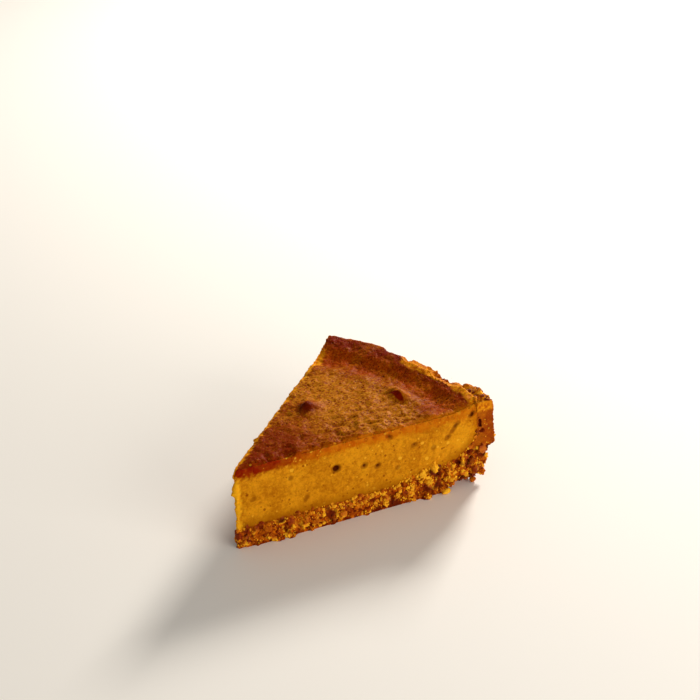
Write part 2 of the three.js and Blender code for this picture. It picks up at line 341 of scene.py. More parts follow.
# %% [markdown]
# The knife dragged clumps of crumbs out of the base: some along the foot, a heap that smeared up over
# the custard, and some at the corner under the wall. Each is a ball knocked uneven, pushed into the
# crust. Pieces have broken off the rim and the foot wore away under that corner, so larger balls are
# taken out there. A place on the front cut is the distance along it and the height, any other a radius,
# angle and height, and then comes the size. The next step wraps the lot in one new skin.

# %% Clumps and broken places
CLUMPS = [
    (5, 2.4, 4), (10, 1, 4), (14.5, 3.4, 4), (18, 0.8, 6), (24, 1.2, 6.6), (29, 4, 3.6), (33, 1, 4),
    (38, 4.4, 3.6), (42, 0.8, 4.4), (46.5, 2.6, 3.6), (50, 7, 3), (57, 1, 4.6), (61, 3.6, 3.4),
    (64.7, 5.8, 3.6), (67, 1.6, 3.2), (71, 4, 3.4), (74.5, 8.8, 3.2), (77, 1.2, 3.4), (79, 9.8, 4.2),
    (84.6, 1.6, 6.8), (83.6, 11.6, 4), (86, 6.4, 4), (88.7, 13, 3.8), (91, 8.6, 3), (92, 2.4, 4.6),
    (96.5, 5.5, 4), (98, 11, 3.4), (101.4, 11.6, 4.6), (103.4, 5.4, 3.4), (106, 11.8, 4.4), (109, 8, 3.6),
]
CLUMP_SHAPE = (1, 1, 0.85)
FOOT_BITES = [
    (93.6, -1, 4), (97, -0.6, 6), (101, -0.2, 8.2), (105, -0.4, 8), (109, -0.6, 7.4), (112.6, -0.8, 7),
]
BITES = [
    (115.4, 6.8, 39.2, 10), (115.2, 3.4, 39.2, 10), (114.6, -0.4, 39.2, 10), (114.2, -4, 39.2, 10),
    (114.8, -6.6, 37.6, 10.4), (115, -9, 37, 10.8), (115.2, -11.8, 38.4, 8.4),
]
RIM_CLUMPS = [
    (111.6, -15.2, 38.2, 3), (113, -18.4, 38, 3.6), (112, -21, 38.3, 3), (108.6, -20.8, 38, 2.6),
    (113.8, -21.6, 33.5, 3), (115.6, -21.4, 28.6, 2.8), (115.6, -21.8, 19, 4.4), (112.6, -21.8, 10.6, 4),
    (111.8, -21.8, 5.6, 3.6),
]
dice = random.Random(7)


def knocked(piece, share):
    """Knocks each vertex of a ball in or out by up to a share of its size."""
    middle = sum((v.co for v in piece.data.vertices), Vector()) / len(piece.data.vertices)
    for vertex in piece.data.vertices:
        vertex.co = middle + (vertex.co - middle) * (1 + share * (2 * dice.random() - 1))
    return piece


bites = [knocked(ball(on_pie(*place), size), 0.15) for *place, size in BITES]
bites += [knocked(ball(on_pie(along, FRONT_CUT, height), size), 0.15) for along, height, size in FOOT_BITES]
bites = join(bites, "bites")
take_out(crust, bites)
take_out(crust, air)
bpy.data.objects.remove(bites)
clumps = [knocked(ball(on_pie(along, FRONT_CUT, height), size, CLUMP_SHAPE), 0.2)
          for along, height, size in CLUMPS]
clumps += [knocked(ball(on_pie(*place), size), 0.25) for *place, size in RIM_CLUMPS]
crust = join([crust, *clumps], "crumb_crust")

# %% [markdown]
# The knife also left its mark on the custard. At the tip and along the top of the cuts the edge tore
# instead of parting cleanly, so a few small lumps of custard are left hanging there. Each is a ball
# pushed into the block: its radius, angle, height and size.

# %% Lumps on the custard's edges
LUMPS = [
    (1.4, 0, 27.6, 2.6), (1.3, 20, 24.6, 2.2), (1.6, -40, 21.8, 1.8), (1.6, 10, 18, 1.6),
    (1.5, -50, 13.2, 1.8), (25.6, 22.6, 35.2, 2.2), (40, 22.5, 35.4, 1.4), (63, 22.4, 35.4, 1.6),
    (77, 22.4, 34.8, 1.5), (31, -22.4, 33.9, 1.6), (36.5, -22.4, 33.4, 1.4), (12.5, -22.4, 31.6, 1.4),
    (89, 22.4, 35, 1.8),
]
lumps = [knocked(ball(on_pie(*place), size), 0.2) for *place, size in LUMPS]
custard = join([custard, *lumps], "custard_filling")

# %% [markdown]
# A remesh wraps each piece in an even net of small squares, fine enough to hold crumbs and wrinkles.
# Anything that sticks through anything else becomes one skin. The net would leave stairs on a slanting
# face, so the slice is turned to lay its front cut along the net while it is wrapped, and back again.

# %% An even net over each piece
CUSTARD_NET, CRUST_NET = 0.46, 0.5


def wrap(piece, square):
    """Wraps a piece in a net of squares of a size in mm."""
    piece.data.transform(Matrix.Rotation(HALF_ANGLE, 4, "Z"))
    finish_with(piece, "REMESH", mode="VOXEL", voxel_size=square * MM, use_smooth_shade=True)
    piece.data.transform(Matrix.Rotation(-HALF_ANGLE, 4, "Z"))


wrap(custard, CUSTARD_NET)
finish_with(custard, "SMOOTH", factor=0.5, iterations=4)
wrap(crust, CRUST_NET)
print("custard:", count(custard), "triangles; crust:", count(crust), "triangles")

# %% [markdown]
# Relief and colour come from the same patterns, so a fold that is pushed up in the skin is painted lighter
# in its material, as a highlight, and the hollows between folds darker, as shade. Patterns are built from
# nodes, and these few calls add them, in geometry nodes and materials alike. Everything in them is in
# millimetres from the pie's middle, so a size is a real one.

# %% A helper for patterns
class Pattern:
    """Adds nodes to a tree. Each call returns the output that it makes."""

    def __init__(self, tree):
        self.tree = tree

    def node(self, kind, feeds=None, **settings):
        made = self.tree.nodes.new(kind)
        for name, value in settings.items():
            setattr(made, name, value)
        for socket, value in (feeds or {}).items():
            if isinstance(value, bpy.types.NodeSocket):
                self.tree.links.new(value, made.inputs[socket])
            else:
                made.inputs[socket].default_value = value
        return made

    def math(self, kind, *values):
        return self.node("ShaderNodeMath", dict(enumerate(values)), operation=kind).outputs[0]

    def chain(self, kind, values):
        total = values[0]
        for value in values[1:]:
            total = self.math(kind, total, value)
        return total

    def add(self, *values):
        return self.chain("ADD", values)

    def times(self, *values):
        return self.chain("MULTIPLY", values)

    def most(self, *values):
        return self.chain("MAXIMUM", values)

    def vector(self, kind, *values):
        made = self.node("ShaderNodeVectorMath", dict(enumerate(values)), operation=kind)
        return made.outputs["Value" if kind in ("LENGTH", "DOT_PRODUCT", "DISTANCE") else "Vector"]

    def scale(self, vector, by):
        return self.node("ShaderNodeVectorMath", {0: vector, "Scale": by}, operation="SCALE").outputs[0]

    def ramp(self, value, low, high, start=0.0, end=1.0):
        """Goes smoothly from start to end while value goes from low to high."""
        feeds = {"Value": value, "From Min": low, "From Max": high, "To Min": start, "To Max": end}
        return self.node("ShaderNodeMapRange", feeds, interpolation_type="SMOOTHSTEP").outputs[0]

    def noise(self, at, size, detail=2.0, roughness=0.5):
        """Soft noise from 0 to 1, its blobs about size mm across."""
        feeds = {"Vector": at, "Scale": 1 / size, "Detail": detail, "Roughness": roughness}
        return self.node("ShaderNodeTexNoise", feeds).outputs[0]

    def sway(self, at, size, height, detail=2.0, roughness=0.5):
        """The same noise as a height in mm, up and down from 0."""
        return self.times(self.math("SUBTRACT", self.noise(at, size, detail, roughness), 0.5), height)

    def cells(self, at, size, kind="F1"):
        """The distance to the nearest of many points about size mm apart, in units of that size."""
        feeds = {"Vector": at, "Scale": 1 / size}
        return self.node("ShaderNodeTexVoronoi", feeds, feature=kind).outputs["Distance"]

    def stretch(self, at, turn, scale):
        """Turns a place about the vertical by an angle in degrees and divides each direction by scale."""
        feeds = {"Vector": at, "Angle": math.radians(turn)}
        turned = self.node("ShaderNodeVectorRotate", feeds, rotation_type="Z_AXIS").outputs[0]
        return self.vector("DIVIDE", turned, scale)

    def place(self):
        """The place in mm from the pie's middle, on the floor."""
        if self.tree.type == "GEOMETRY":
            here = self.node("GeometryNodeInputPosition").outputs[0]
        else:
            here = self.node("ShaderNodeTexCoord").outputs["Object"]
        return self.scale(self.vector("SUBTRACT", here, MIDDLE), 1 / MM)

    def split(self, at):
        """The three parts of a vector."""
        return self.node("ShaderNodeSeparateXYZ", {0: at}).outputs

    def join(self, x, y, z):
        return self.node("ShaderNodeCombineXYZ", {0: x, 1: y, 2: z}).outputs[0]

    def draw(self, seed, low=None, high=None):
        """A random number from 0 to 1 for each crumb, or a random vector from low to high."""
        if low is None:
            return self.node("FunctionNodeRandomValue", {"Seed": seed}, data_type="FLOAT").outputs[1]
        feeds = {"Min": low, "Max": high, "Seed": seed}
        return self.node("FunctionNodeRandomValue", feeds, data_type="FLOAT_VECTOR").outputs[0]

    def flat(self, at):
        """A place without its height."""
        x, y, _ = self.split(at)
        return self.join(x, y, 0.0)


# %% [markdown]
# Where is the skin, and where the knife's cut? The shape itself tells: skin looks up and cuts look
# sideways. How far a place is from the middle, how deep it is under the nearer cut and how high the
# crust reaches at that distance are worked out here, for the relief and the colours both.

# %% Reading a place on the pie
def around(p, at):
    """Radius in mm, angle in degrees and height in mm of a place."""
    x, y, z = p.split(at)
    radius = p.vector("LENGTH", p.join(x, y, 0.0))
    angle = p.times(p.math("ARCTAN2", y, x), math.degrees(1))
    return radius, angle, z


def under_cut(p, at):
    """How many mm a place is inside the nearer cut face."""
    x, y, _ = p.split(at)
    across = p.times(p.math("ABSOLUTE", y), math.cos(HALF_ANGLE))
    return p.math("SUBTRACT", p.times(x, math.sin(HALF_ANGLE)), across)


def over_crust(p, at):
    """How many mm a place is above the crust's base and rounded corner."""
    radius, _, height = around(p, at)
    out = p.math("SUBTRACT", radius, CORNER_START)
    out = p.math("MINIMUM", p.most(p.math("DIVIDE", out, WALL_INSIDE - CORNER_START), 0.0), 1.0)
    drop = p.math("SQRT", p.math("SUBTRACT", 1.0, p.times(out, out)))
    return p.math("SUBTRACT", height, p.math("SUBTRACT", CORNER_TOP, p.times(drop, CORNER_TOP - BASE)))


def near_spot(p, at, radius, angle, size, stretch=1.0):
    """1 at a spot on the top and 0 at size mm from it. stretch makes it longer round the pie."""
    centre = (on_pie(radius, angle, 0) - MIDDLE) / MM
    away = p.stretch(p.vector("SUBTRACT", p.flat(at), centre), -angle, (1, stretch, 1))
    return p.ramp(p.vector("LENGTH", away), size, 0.0)


# %% [markdown]
# The skin. It dried first and the custard kept moving under it, so it has slow waves, fine wrinkles
# where it was dragged, most of them along the front cut, and a pinprick wherever a small bubble burst.
# Steam lifted it in two places: a round blister near the back cut, burnt on its cap, and a
# long low one near the rim. Each is a height in mm, and one geometry-nodes tree adds them up. A place
# on the skin is given as its radius and angle.

# %% Patterns of the skin
BLISTER = (54, 10.4)
BLISTER_CAP = (53, 9.6)
LONG_BLISTER = (87.4, -7.4)
# Where the long blister's front is painted dark, as shade.
LONG_BLISTER_SHADED_FRONT = (85.2, -7.9)
PINPRICK = 1.9
WRINKLE = (11, 3, 1)
BESIDE = (31, 17, 0)


def pinpricks(p, at, size, wider=0.0):
    """0 in a pinprick and 1 between them, in patches that have more or fewer. wider opens them all."""
    flat = p.flat(at)
    patchy = p.add(p.ramp(p.noise(flat, 12), 0.35, 0.65, 0.0, 0.12), p.sway(flat, 2.5, 0.2), wider)
    return p.ramp(p.math("SUBTRACT", p.cells(flat, size), patchy), 0.0, 0.18)


def wrinkles(p, at):
    """Folds from 0 to 1 that run along the front cut, bent by a slower noise."""
    flat = p.flat(at)
    bend = p.node("ShaderNodeTexNoise", {"Vector": flat, "Scale": 1 / 12, "Detail": 1.0}).outputs["Color"]
    along = p.stretch(flat, -FRONT_CUT, WRINKLE)
    return p.noise(p.vector("ADD", along, p.scale(bend, 2.0)), 1.0, 1.5, 0.5)


def skin_height(p, at):
    """The relief of the browned top, in mm."""
    radius, angle, _ = around(p, at)
    flat = p.flat(at)
    front = p.ramp(angle, 6, -14, 0.35, 1.0)
    ring = p.times(p.ramp(radius, 86, 95), p.ramp(radius, 104, 97), p.ramp(angle, -24, -12, -0.2, -1.3))
    folds = p.times(p.math("SUBTRACT", wrinkles(p, at), 0.5), front, p.ramp(radius, 88, 98, 3.2, 1.2))
    mound = p.times(near_spot(p, at, *BLISTER, 9.5, 1.0), 2.4)
    cap = p.times(near_spot(p, at, *BLISTER, 4), 1.4)
    long_mound = p.times(near_spot(p, at, *LONG_BLISTER, 5.4, 1.5), 2.4)
    return p.add(p.sway(flat, 22, 2.2), p.sway(flat, 7, 1.8), p.sway(flat, 2.2, 0.9),
                 folds, ring, mound, cap, long_mound)


# %% [markdown]
# Geometry nodes move every vertex of the net: the skin up and down by these heights, less a rounding
# where it bends over into the cuts, and the cut faces in and out by much less, because a knife leaves
# custard smooth. How near each vertex is to an air hole is kept with it, to paint shade into the holes later.

# %% Pushing the relief into the custard
AIR_EDGE = 1.3


def geometry_tree(name):
    """An empty geometry-nodes tree with a way in and a way out."""
    tree = bpy.data.node_groups.new(name, "GeometryNodeTree")
    tree.interface.new_socket("Geometry", in_out="INPUT", socket_type="NodeSocketGeometry")
    tree.interface.new_socket("Geometry", in_out="OUTPUT", socket_type="NodeSocketGeometry")
    return tree, Pattern(tree), tree.nodes.new("NodeGroupInput"), tree.nodes.new("NodeGroupOutput")


def run_nodes(piece, tree):
    """Runs a geometry-nodes tree on a piece and keeps the result."""
    hold(piece)
    modifier = piece.modifiers.new(tree.name, "NODES")
    modifier.node_group = tree
    bpy.ops.object.modifier_apply(modifier=modifier.name)


def mark_air(p, geometry):
    """Keeps how near each vertex is to an air hole or a tear."""
    air_shape = p.node("GeometryNodeObjectInfo", {"Object": air}).outputs["Geometry"]
    near = p.node("GeometryNodeProximity", {"Geometry": air_shape}, target_element="FACES")
    in_air = p.ramp(near.outputs["Distance"], AIR_EDGE * MM, 0.1 * MM)
    feeds = {"Geometry": geometry, "Name": "in_air", "Value": in_air}
    return p.node("GeometryNodeStoreNamedAttribute", feeds, data_type="FLOAT", domain="POINT").outputs[0]


def custard_relief():
    """The skin's relief, the softer one of the cuts, and the torn tip and edges."""
    tree, p, way_in, way_out = geometry_tree("custard_relief")
    at = p.place()
    radius, angle, height = around(p, at)
    depth = under_cut(p, at)
    normal = p.node("GeometryNodeInputNormal").outputs[0]
    upward = p.split(normal)[2]
    on_skin = p.times(p.ramp(upward, 0.25, 0.8), p.ramp(height, 30, 34))
    rounding = p.times(p.ramp(depth, 3.0, 0.0), p.ramp(angle, -4, 4, -1.2, -0.2))
    lift = p.join(0.0, 0.0, p.times(p.add(skin_height(p, at), rounding), on_skin, MM))
    on_cut = p.ramp(depth, 1.2, 0.5)
    tip = p.ramp(radius, 7, 2)
    edge = p.ramp(height, 32.5, 35)
    rough = p.times(p.sway(at, 1.9, 1.5, 3.0, 0.6), p.most(edge, tip))
    grain = p.add(p.sway(at, 2.4, 0.4, 4.0, 0.65), p.sway(at, 11, 0.7), rough,
                  p.times(p.sway(at, 3.0, 2.2), tip))
    turned_in = p.times(p.ramp(height, 33, 36.5), p.ramp(angle, -4, 4, -0.7, -0.1))
    push = p.times(p.add(grain, turned_in), on_cut, MM)
    moved = p.node("GeometryNodeSetPosition", {
        "Geometry": mark_air(p, way_in.outputs[0]), "Offset": p.vector("ADD", lift, p.scale(normal, push))})
    tree.links.new(moved.outputs[0], way_out.inputs[0])
    return tree


run_nodes(custard, custard_relief())
print("custard with its relief:", [round(v / MM, 1) for v in custard.dimensions])

# %% [markdown]
# The crust's own surface. Pressed crumbs leave it lumpy at two sizes, clumps of about four millimetres
# made of grains of about one and a half, so two cellular patterns push its cut, broken and outer
# faces out and in. The wall was pressed harder and is smoother, and its rim smoother still. The
# underside stays as flat as the tin's.

# %% Lumps in the crust
CLUMP_SIZE, GRAIN_SIZE = 4.2, 1.5


def loose(p, at):
    """1 where the crust is loose, at its base and corner, and less on the wall, which is pressed hard."""
    return p.ramp(p.split(at)[2], 15, 19, 1.0, p.ramp(under_cut(p, at), 1.5, 3.5, 0.22, 0.5))


def crumb_clumps(p, at):
    """0 on top of a clump of crumbs and about 0.7 in the hollows between clumps."""
    return p.cells(at, CLUMP_SIZE, "SMOOTH_F1")


def rest_on_floor(p, geometry):
    """Presses flat whatever would reach below the floor."""
    here = p.node("GeometryNodeInputPosition").outputs[0]
    raised = p.vector("MAXIMUM", here, (-1.0, -1.0, 0.0))
    return p.node("GeometryNodeSetPosition", {"Geometry": geometry, "Position": raised}).outputs[0]


def crust_relief():
    """Clumps and grains on every face but the underside."""
    tree, p, way_in, way_out = geometry_tree("crust_relief")
    at = p.place()
    radius, _, height = around(p, at)
    normal = p.node("GeometryNodeInputNormal").outputs[0]
    clumps = p.ramp(crumb_clumps(p, at), 0.7, 0.1, -1.3, 0.8)
    grains = p.ramp(p.cells(at, GRAIN_SIZE), 0.7, 0.1, -0.45, 0.3)
    grains = p.times(grains, p.add(p.times(loose(p, at), 0.5), 0.5))
    bare = p.times(p.ramp(height, 0.0, 0.8), p.ramp(radius, 1, 9, 0.3, 1.0))
    outer = p.most(p.ramp(under_cut(p, at), 2.5, 1.0), p.ramp(radius, 108, 110))
    rim = p.ramp(height, 30, 34, 1.0, 0.5)
    push = p.times(p.add(p.times(clumps, loose(p, at)), grains), bare, outer, rim, MM)
    moved = p.node("GeometryNodeSetPosition", {
        "Geometry": mark_air(p, way_in.outputs[0]), "Offset": p.scale(normal, push)})
    tree.links.new(rest_on_floor(p, moved.outputs[0]), way_out.inputs[0])
    return tree


run_nodes(crust, crust_relief())
bpy.data.objects.remove(air)
print("crust with its lumps:", [round(v / MM, 1) for v in crust.dimensions])

# %% [markdown]
# Crumbs. A biscuit breaks into angular bits with rounded corners. A few shapes are enough: a small
# cube is subdivided and knocked about, six times over. They are scattered on the crust's bare faces
# with random size, turn and shape, thousands of them, each with a few dozen faces. A number that is
# drawn for each crumb stays with it as an attribute, for its colour.

# %% Six crumbs
CRUMB_SHAPES = 6
crumb_box = bpy.data.collections.new("crumb_shapes")
bpy.context.scene.collection.children.link(crumb_box)
for number in range(CRUMB_SHAPES):
    bpy.ops.mesh.primitive_cube_add(size=1)
    shape = hold(bpy.context.object)
    shape.name = f"crumb_shape_{number}"
    bpy.ops.object.mode_set(mode="EDIT")
    bpy.ops.mesh.select_all(action="SELECT")
    bpy.ops.mesh.subdivide(number_cuts=1, smoothness=0.6)
    done()
    knocked(shape, 0.33)
    bpy.ops.object.shade_smooth_by_angle(angle=math.radians(36))
    for collection in list(shape.users_collection):
        collection.objects.unlink(shape)
    crumb_box.objects.link(shape)
print("crumb shapes:", CRUMB_SHAPES, "of", count(shape), "triangles")

# %% [markdown]
# The scatter itself. Points are dealt out over the bare faces with a least distance between them, so
# that crumbs crowd without stacking, and where a noise is low none are dealt, which leaves the dark
# hollows between heaps. Small crumbs are dealt thickly, and big ones thinly. Each scatter is told the
# least distance, the smallest and largest crumb in mm, and a seed.

# %% Scattering crumbs
def scatter_tree(name, bare, spacing, smallest, largest, seed):
    """Crumbs at least spacing mm apart wherever bare(p, at) is above a half."""
    tree, p, way_in, way_out = geometry_tree(name)
    at = p.place()
    dealt = p.node("GeometryNodeDistributePointsOnFaces", {
        "Mesh": way_in.outputs[0], "Distance Min": spacing * MM, "Density Max": 2.0 / (spacing * MM) ** 2,
        "Density Factor": bare(p, at), "Seed": seed}, distribute_method="POISSON")
    shapes = p.node("GeometryNodeCollectionInfo", {
        0: crumb_box, "Separate Children": True, "Reset Children": True})
    mostly_small = p.math("POWER", p.draw(seed + 1), 2.0)
    size = p.times(p.ramp(mostly_small, 0, 1, smallest, largest), MM)
    turn = p.draw(seed + 2, (0, 0, 0), (math.tau, math.tau, math.tau))
    squash = p.draw(seed + 4, (0.75, 0.6, 0.5), (1.2, 1, 0.8))
    sunk = p.node("GeometryNodeSetPosition", {
        "Geometry": dealt.outputs["Points"], "Offset": p.scale(dealt.outputs["Normal"], p.times(size, -0.2))})
    crumbs = p.node("GeometryNodeInstanceOnPoints", {
        "Points": sunk.outputs[0], "Instance": shapes.outputs[0], "Pick Instance": True,
        "Rotation": turn, "Scale": p.scale(squash, size)})
    feeds = {"Geometry": crumbs.outputs[0], "Name": "tone", "Value": p.draw(seed + 3)}
    toned = p.node("GeometryNodeStoreNamedAttribute", feeds, data_type="FLOAT", domain="INSTANCE")
    real = p.node("GeometryNodeRealizeInstances", {0: toned.outputs[0]})
    tree.links.new(rest_on_floor(p, real.outputs[0]), way_out.inputs[0])
    return tree


def heaped(p, at, size):
    """0 in hollows and 1 on heaps, of about size mm."""
    return p.ramp(p.noise(at, size, 2.0), 0.41, 0.48)


def on_cuts(p, at):
    """The crust's cut faces, thinner up the wall, and none over an air hole."""
    height = p.split(at)[2]
    in_air = p.node("GeometryNodeInputNamedAttribute", {"Name": "in_air"}, data_type="FLOAT").outputs[0]
    seen = p.times(p.ramp(under_cut(p, at), 2.2, 1.6), p.ramp(height, 0.2, 0.4), p.ramp(in_air, 0.3, 0.05))
    return p.times(seen, heaped(p, at, 4), p.ramp(height, 14, 18, 1.0, 0.16))


def on_wall(p, at):
    """The crust's outer wall and its broken rim."""
    radius, angle, height = around(p, at)
    inner = p.ramp(under_cut(p, at), 1.2, 1.6)
    corner = p.ramp(p.add(height, p.ramp(angle, -13, -15, 0, -6)), 34, 33)
    return p.times(p.ramp(radius, 108.5, 109.5), p.ramp(height, 1.2, 1.6), corner, heaped(p, at, 6), inner)


def smeared(p, at):
    """The custard's cut faces just over the crust, most of all where the knife smeared a heap up them."""
    radius = around(p, at)[0]
    heap = p.times(p.ramp(radius, 68, 76), p.ramp(radius, 94, 88), 2.4)
    above = p.add(over_crust(p, at), p.sway(at, 4, 5), p.times(heap, -1))
    return p.times(p.ramp(above, 0.9, 0.3), p.ramp(under_cut(p, at), 1.2, 0.6))


def scatter(name, ground, tree):
    """Runs a scatter on a copy of a piece, which the crumbs then replace."""
    crumbs = ground.copy()
    crumbs.data = ground.data.copy()
    crumbs.name = crumbs.data.name = name
    bpy.context.scene.collection.objects.link(crumbs)
    run_nodes(crumbs, tree)
    print(name + ":", count(crumbs), "triangles")
    return crumbs


cut_crumbs = scatter("cut_crumbs", crust, scatter_tree("cut", on_cuts, 0.82, 0.5, 1.7, 3))
wall_crumbs = scatter("wall_crumbs", crust, scatter_tree("wall", on_wall, 1.3, 0.6, 1.8, 5))
large_crumbs = scatter("large_crumbs", crust, scatter_tree("large", on_cuts, 4.2, 1.8, 3.0, 11))
smeared_crumbs = scatter("smeared_crumbs", custard, scatter_tree("smear", smeared, 1.0, 0.5, 1.6, 23))
wall_crumbs = join([wall_crumbs, large_crumbs, smeared_crumbs], "wall_crumbs")

# %% [markdown]
# Two crumbs have fallen beside the slice's foot. They are the same crumbs, a little larger,
# laid flat on z = 0 at the places where they lie in the picture.

# %% Two fallen crumbs
FALLEN = [(93.4, -23.9, 5.0, (1.0, 0.5, 0.42), 0.9), (107.6, -22.1, 3.2, (1.0, 0.8, 0.6), 0.5)]
fallen = []
for number, (radius, angle, size, shape, tone) in enumerate(FALLEN):
    bpy.ops.mesh.primitive_ico_sphere_add(subdivisions=3, radius=size / 2 * MM, scale=shape)
    crumb = hold(bpy.context.object)
    settle()
    knocked(crumb, 0.16)
    low = min(v.co.z for v in crumb.data.vertices)
    bpy.ops.transform.translate(value=on_pie(radius, angle, 0) - Vector((0, 0, low)))
    settle()
    bpy.ops.object.shade_smooth()
    crumb.name = crumb.data.name = f"fallen_crumb_{number + 1}"
    tones = crumb.data.attributes.new("tone", "FLOAT", "POINT")
    tones.data.foreach_set("value", [tone] * len(crumb.data.vertices))
    fallen.append(crumb)
bpy.data.collections.remove(crumb_box)
for shape in [o for o in bpy.data.objects if o.name.startswith("crumb_shape_")]:
    bpy.data.objects.remove(shape)

# %% [markdown]
# The colours of the custard. Cut custard is a warm golden orange, a little browner just under the
# skin, where the oven dried it. The skin itself runs from tan in the middle of the slice to a dark
# red-brown at the tip, along the rim and on the blisters, with fine flecks of gold and brown all over,
# which are painted highlights and painted shade on its grain. Its folds carry a painted sheen on their
# crests and painted shade in their hollows, and the tip's edge a painted highlight. Pinpricks and pores
# are darker still, and the air holes are painted dark as shade.

# %% Materials
def material(name):
    """A new material, with a pattern to build it and its shader."""
    made = bpy.data.materials.new(name)
    made.use_nodes = True
    return made, Pattern(made.node_tree), made.node_tree.nodes["Principled BSDF"]


def colour(p, share, low, high):
    """Mixes two colours, given as linear red, green and blue or as outputs."""
    full = [value if isinstance(value, bpy.types.NodeSocket) else (*value, 1.0) for value in (low, high)]
    mixed = p.node("ShaderNodeMix", {0: share, 6: full[0], 7: full[1]}, data_type="RGBA")
    return mixed.outputs[2]


def bump(p, height, strength, depth):
    """A bump made of a pattern, with its depth in mm."""
    feeds = {"Height": height, "Strength": strength, "Distance": depth * MM}
    return p.node("ShaderNodeBump", feeds).outputs[0]


def tune(shader, roughness, shine, **more):
    """Sets how rough a shader is, how much it shines, and more."""
    for name, value in {"Roughness": roughness, "Specular IOR Level": shine, **more}.items():
        shader.inputs[name.replace("_", " ")].default_value = value


def surface(p, shader, looks, relief):
    """Gives a shader its colour and its bump."""
    p.tree.links.new(looks, shader.inputs["Base Color"])
    p.tree.links.new(relief, shader.inputs["Normal"])


def kept(p, name):
    """A number that was kept with each vertex under a name."""
    return p.node("ShaderNodeAttribute", attribute_name=name).outputs["Fac"]


def torn_rim(p, at):
    """1 where the skin has come off the rim, all along the slice's front half."""
    radius, angle, _ = around(p, at)
    out = p.ramp(p.add(radius, p.sway(at, 6, 5)), 104.5, 106.5)
    return p.times(out, p.ramp(p.add(angle, p.sway(at, 5, 6)), 4, 2))


def torn_colour(p, at):
    """What shows where the skin is gone: baked custard and crumbs, golden in patches that are partly their
    own colour and partly a painted highlight.
    """
    # The golden patches are partly the crumbs' own colour and partly a painted highlight of the light behind.
    return colour(p, p.ramp(p.noise(at, 1.6, 3.0, 0.7), 0.35, 0.65), (0.44, 0.09, 0.0), (0.82, 0.3, 0.004))


def inside_colour(p, at):
    """The cut custard."""
    radius = around(p, at)[0]
    mottle = p.add(p.noise(at, 2.0, 4.0, 0.75), p.sway(at, 14, 0.6), p.sway(at, 0.8, 0.3))
    inside = colour(p, p.ramp(mottle, 0.2, 0.74), (0.4, 0.115, 0.001), (0.7, 0.28, 0.006))
    specks = p.math("SUBTRACT", p.cells(at, 3.4), p.ramp(p.noise(at, 6), 0.4, 0.7, 0.02, 0.24))
    inside = colour(p, p.ramp(specks, 0.0, 0.09, 0.7, 0.0), inside, (0.84, 0.42, 0.02))
    elsewhere = p.vector("ADD", at, (5.3, 2.1, 9.7))
    pores = p.math("SUBTRACT", p.cells(elsewhere, 2.6), p.ramp(p.noise(at, 4), 0.4, 0.7, 0.0, 0.2))
    inside = colour(p, p.ramp(pores, 0.0, 0.12, 0.75, 0.0), inside, (0.22, 0.035, 0.0))
    bottom = p.ramp(p.add(over_crust(p, at), p.sway(at, 6, 3)), 6.0, 0.5)
    inside = colour(p, p.times(bottom, 0.8), inside, (0.32, 0.092, 0.0))
    seam = p.ramp(p.add(over_crust(p, at), p.sway(at, 3, 4, 3.0)), 0.9, -0.2)
    inside = colour(p, p.times(seam, 0.8), inside, (0.2, 0.026, 0.0))
    # A bright yellow band along the tip's edge is a painted highlight.
    tip_highlight = p.ramp(p.add(radius, p.sway(at, 2.4, 4)), 4.0, 2.0)
    inside = colour(p, tip_highlight, inside, (0.85, 0.38, 0.009))
    near_wall = p.ramp(p.add(radius, p.sway(at, 5, 5)), 103.5, 109)
    return colour(p, p.times(near_wall, 0.5), inside, (0.5, 0.14, 0.0))


def edge_colour(p, at):
    """The edge between skin and cut: red at the tip, then orange with golden grains, and pale at the back,
    where the pale is a painted rim light.
    """
    radius, angle, _ = around(p, at)
    patchy = p.ramp(p.noise(at, 3.4, 3.0, 0.65), 0.38, 0.62)
    red = colour(p, patchy, (0.22, 0.008, 0.0), (0.28, 0.03, 0.0))
    orange = colour(p, patchy, (0.46, 0.09, 0.0), (0.56, 0.15, 0.002))
    edge = colour(p, p.ramp(radius, 14, 42), red, orange)
    # At the back the edge is painted pale, a painted rim light.
    edge = colour(p, p.ramp(angle, -2, 2), edge, (0.75, 0.26, 0.004))
    dark = p.times(p.ramp(p.noise(at, 2.0, 3.0, 0.6), 0.56, 0.68, 0.0, 0.6), p.ramp(angle, 2, -2))
    edge = colour(p, dark, edge, (0.24, 0.012, 0.0))
    grains = p.math("SUBTRACT", p.cells(at, 2.0), p.ramp(p.noise(at, 7), 0.4, 0.65, 0.0, 0.24))
    return colour(p, p.ramp(grains, 0.0, 0.14, 0.75, 0.0), edge, (0.72, 0.32, 0.016))


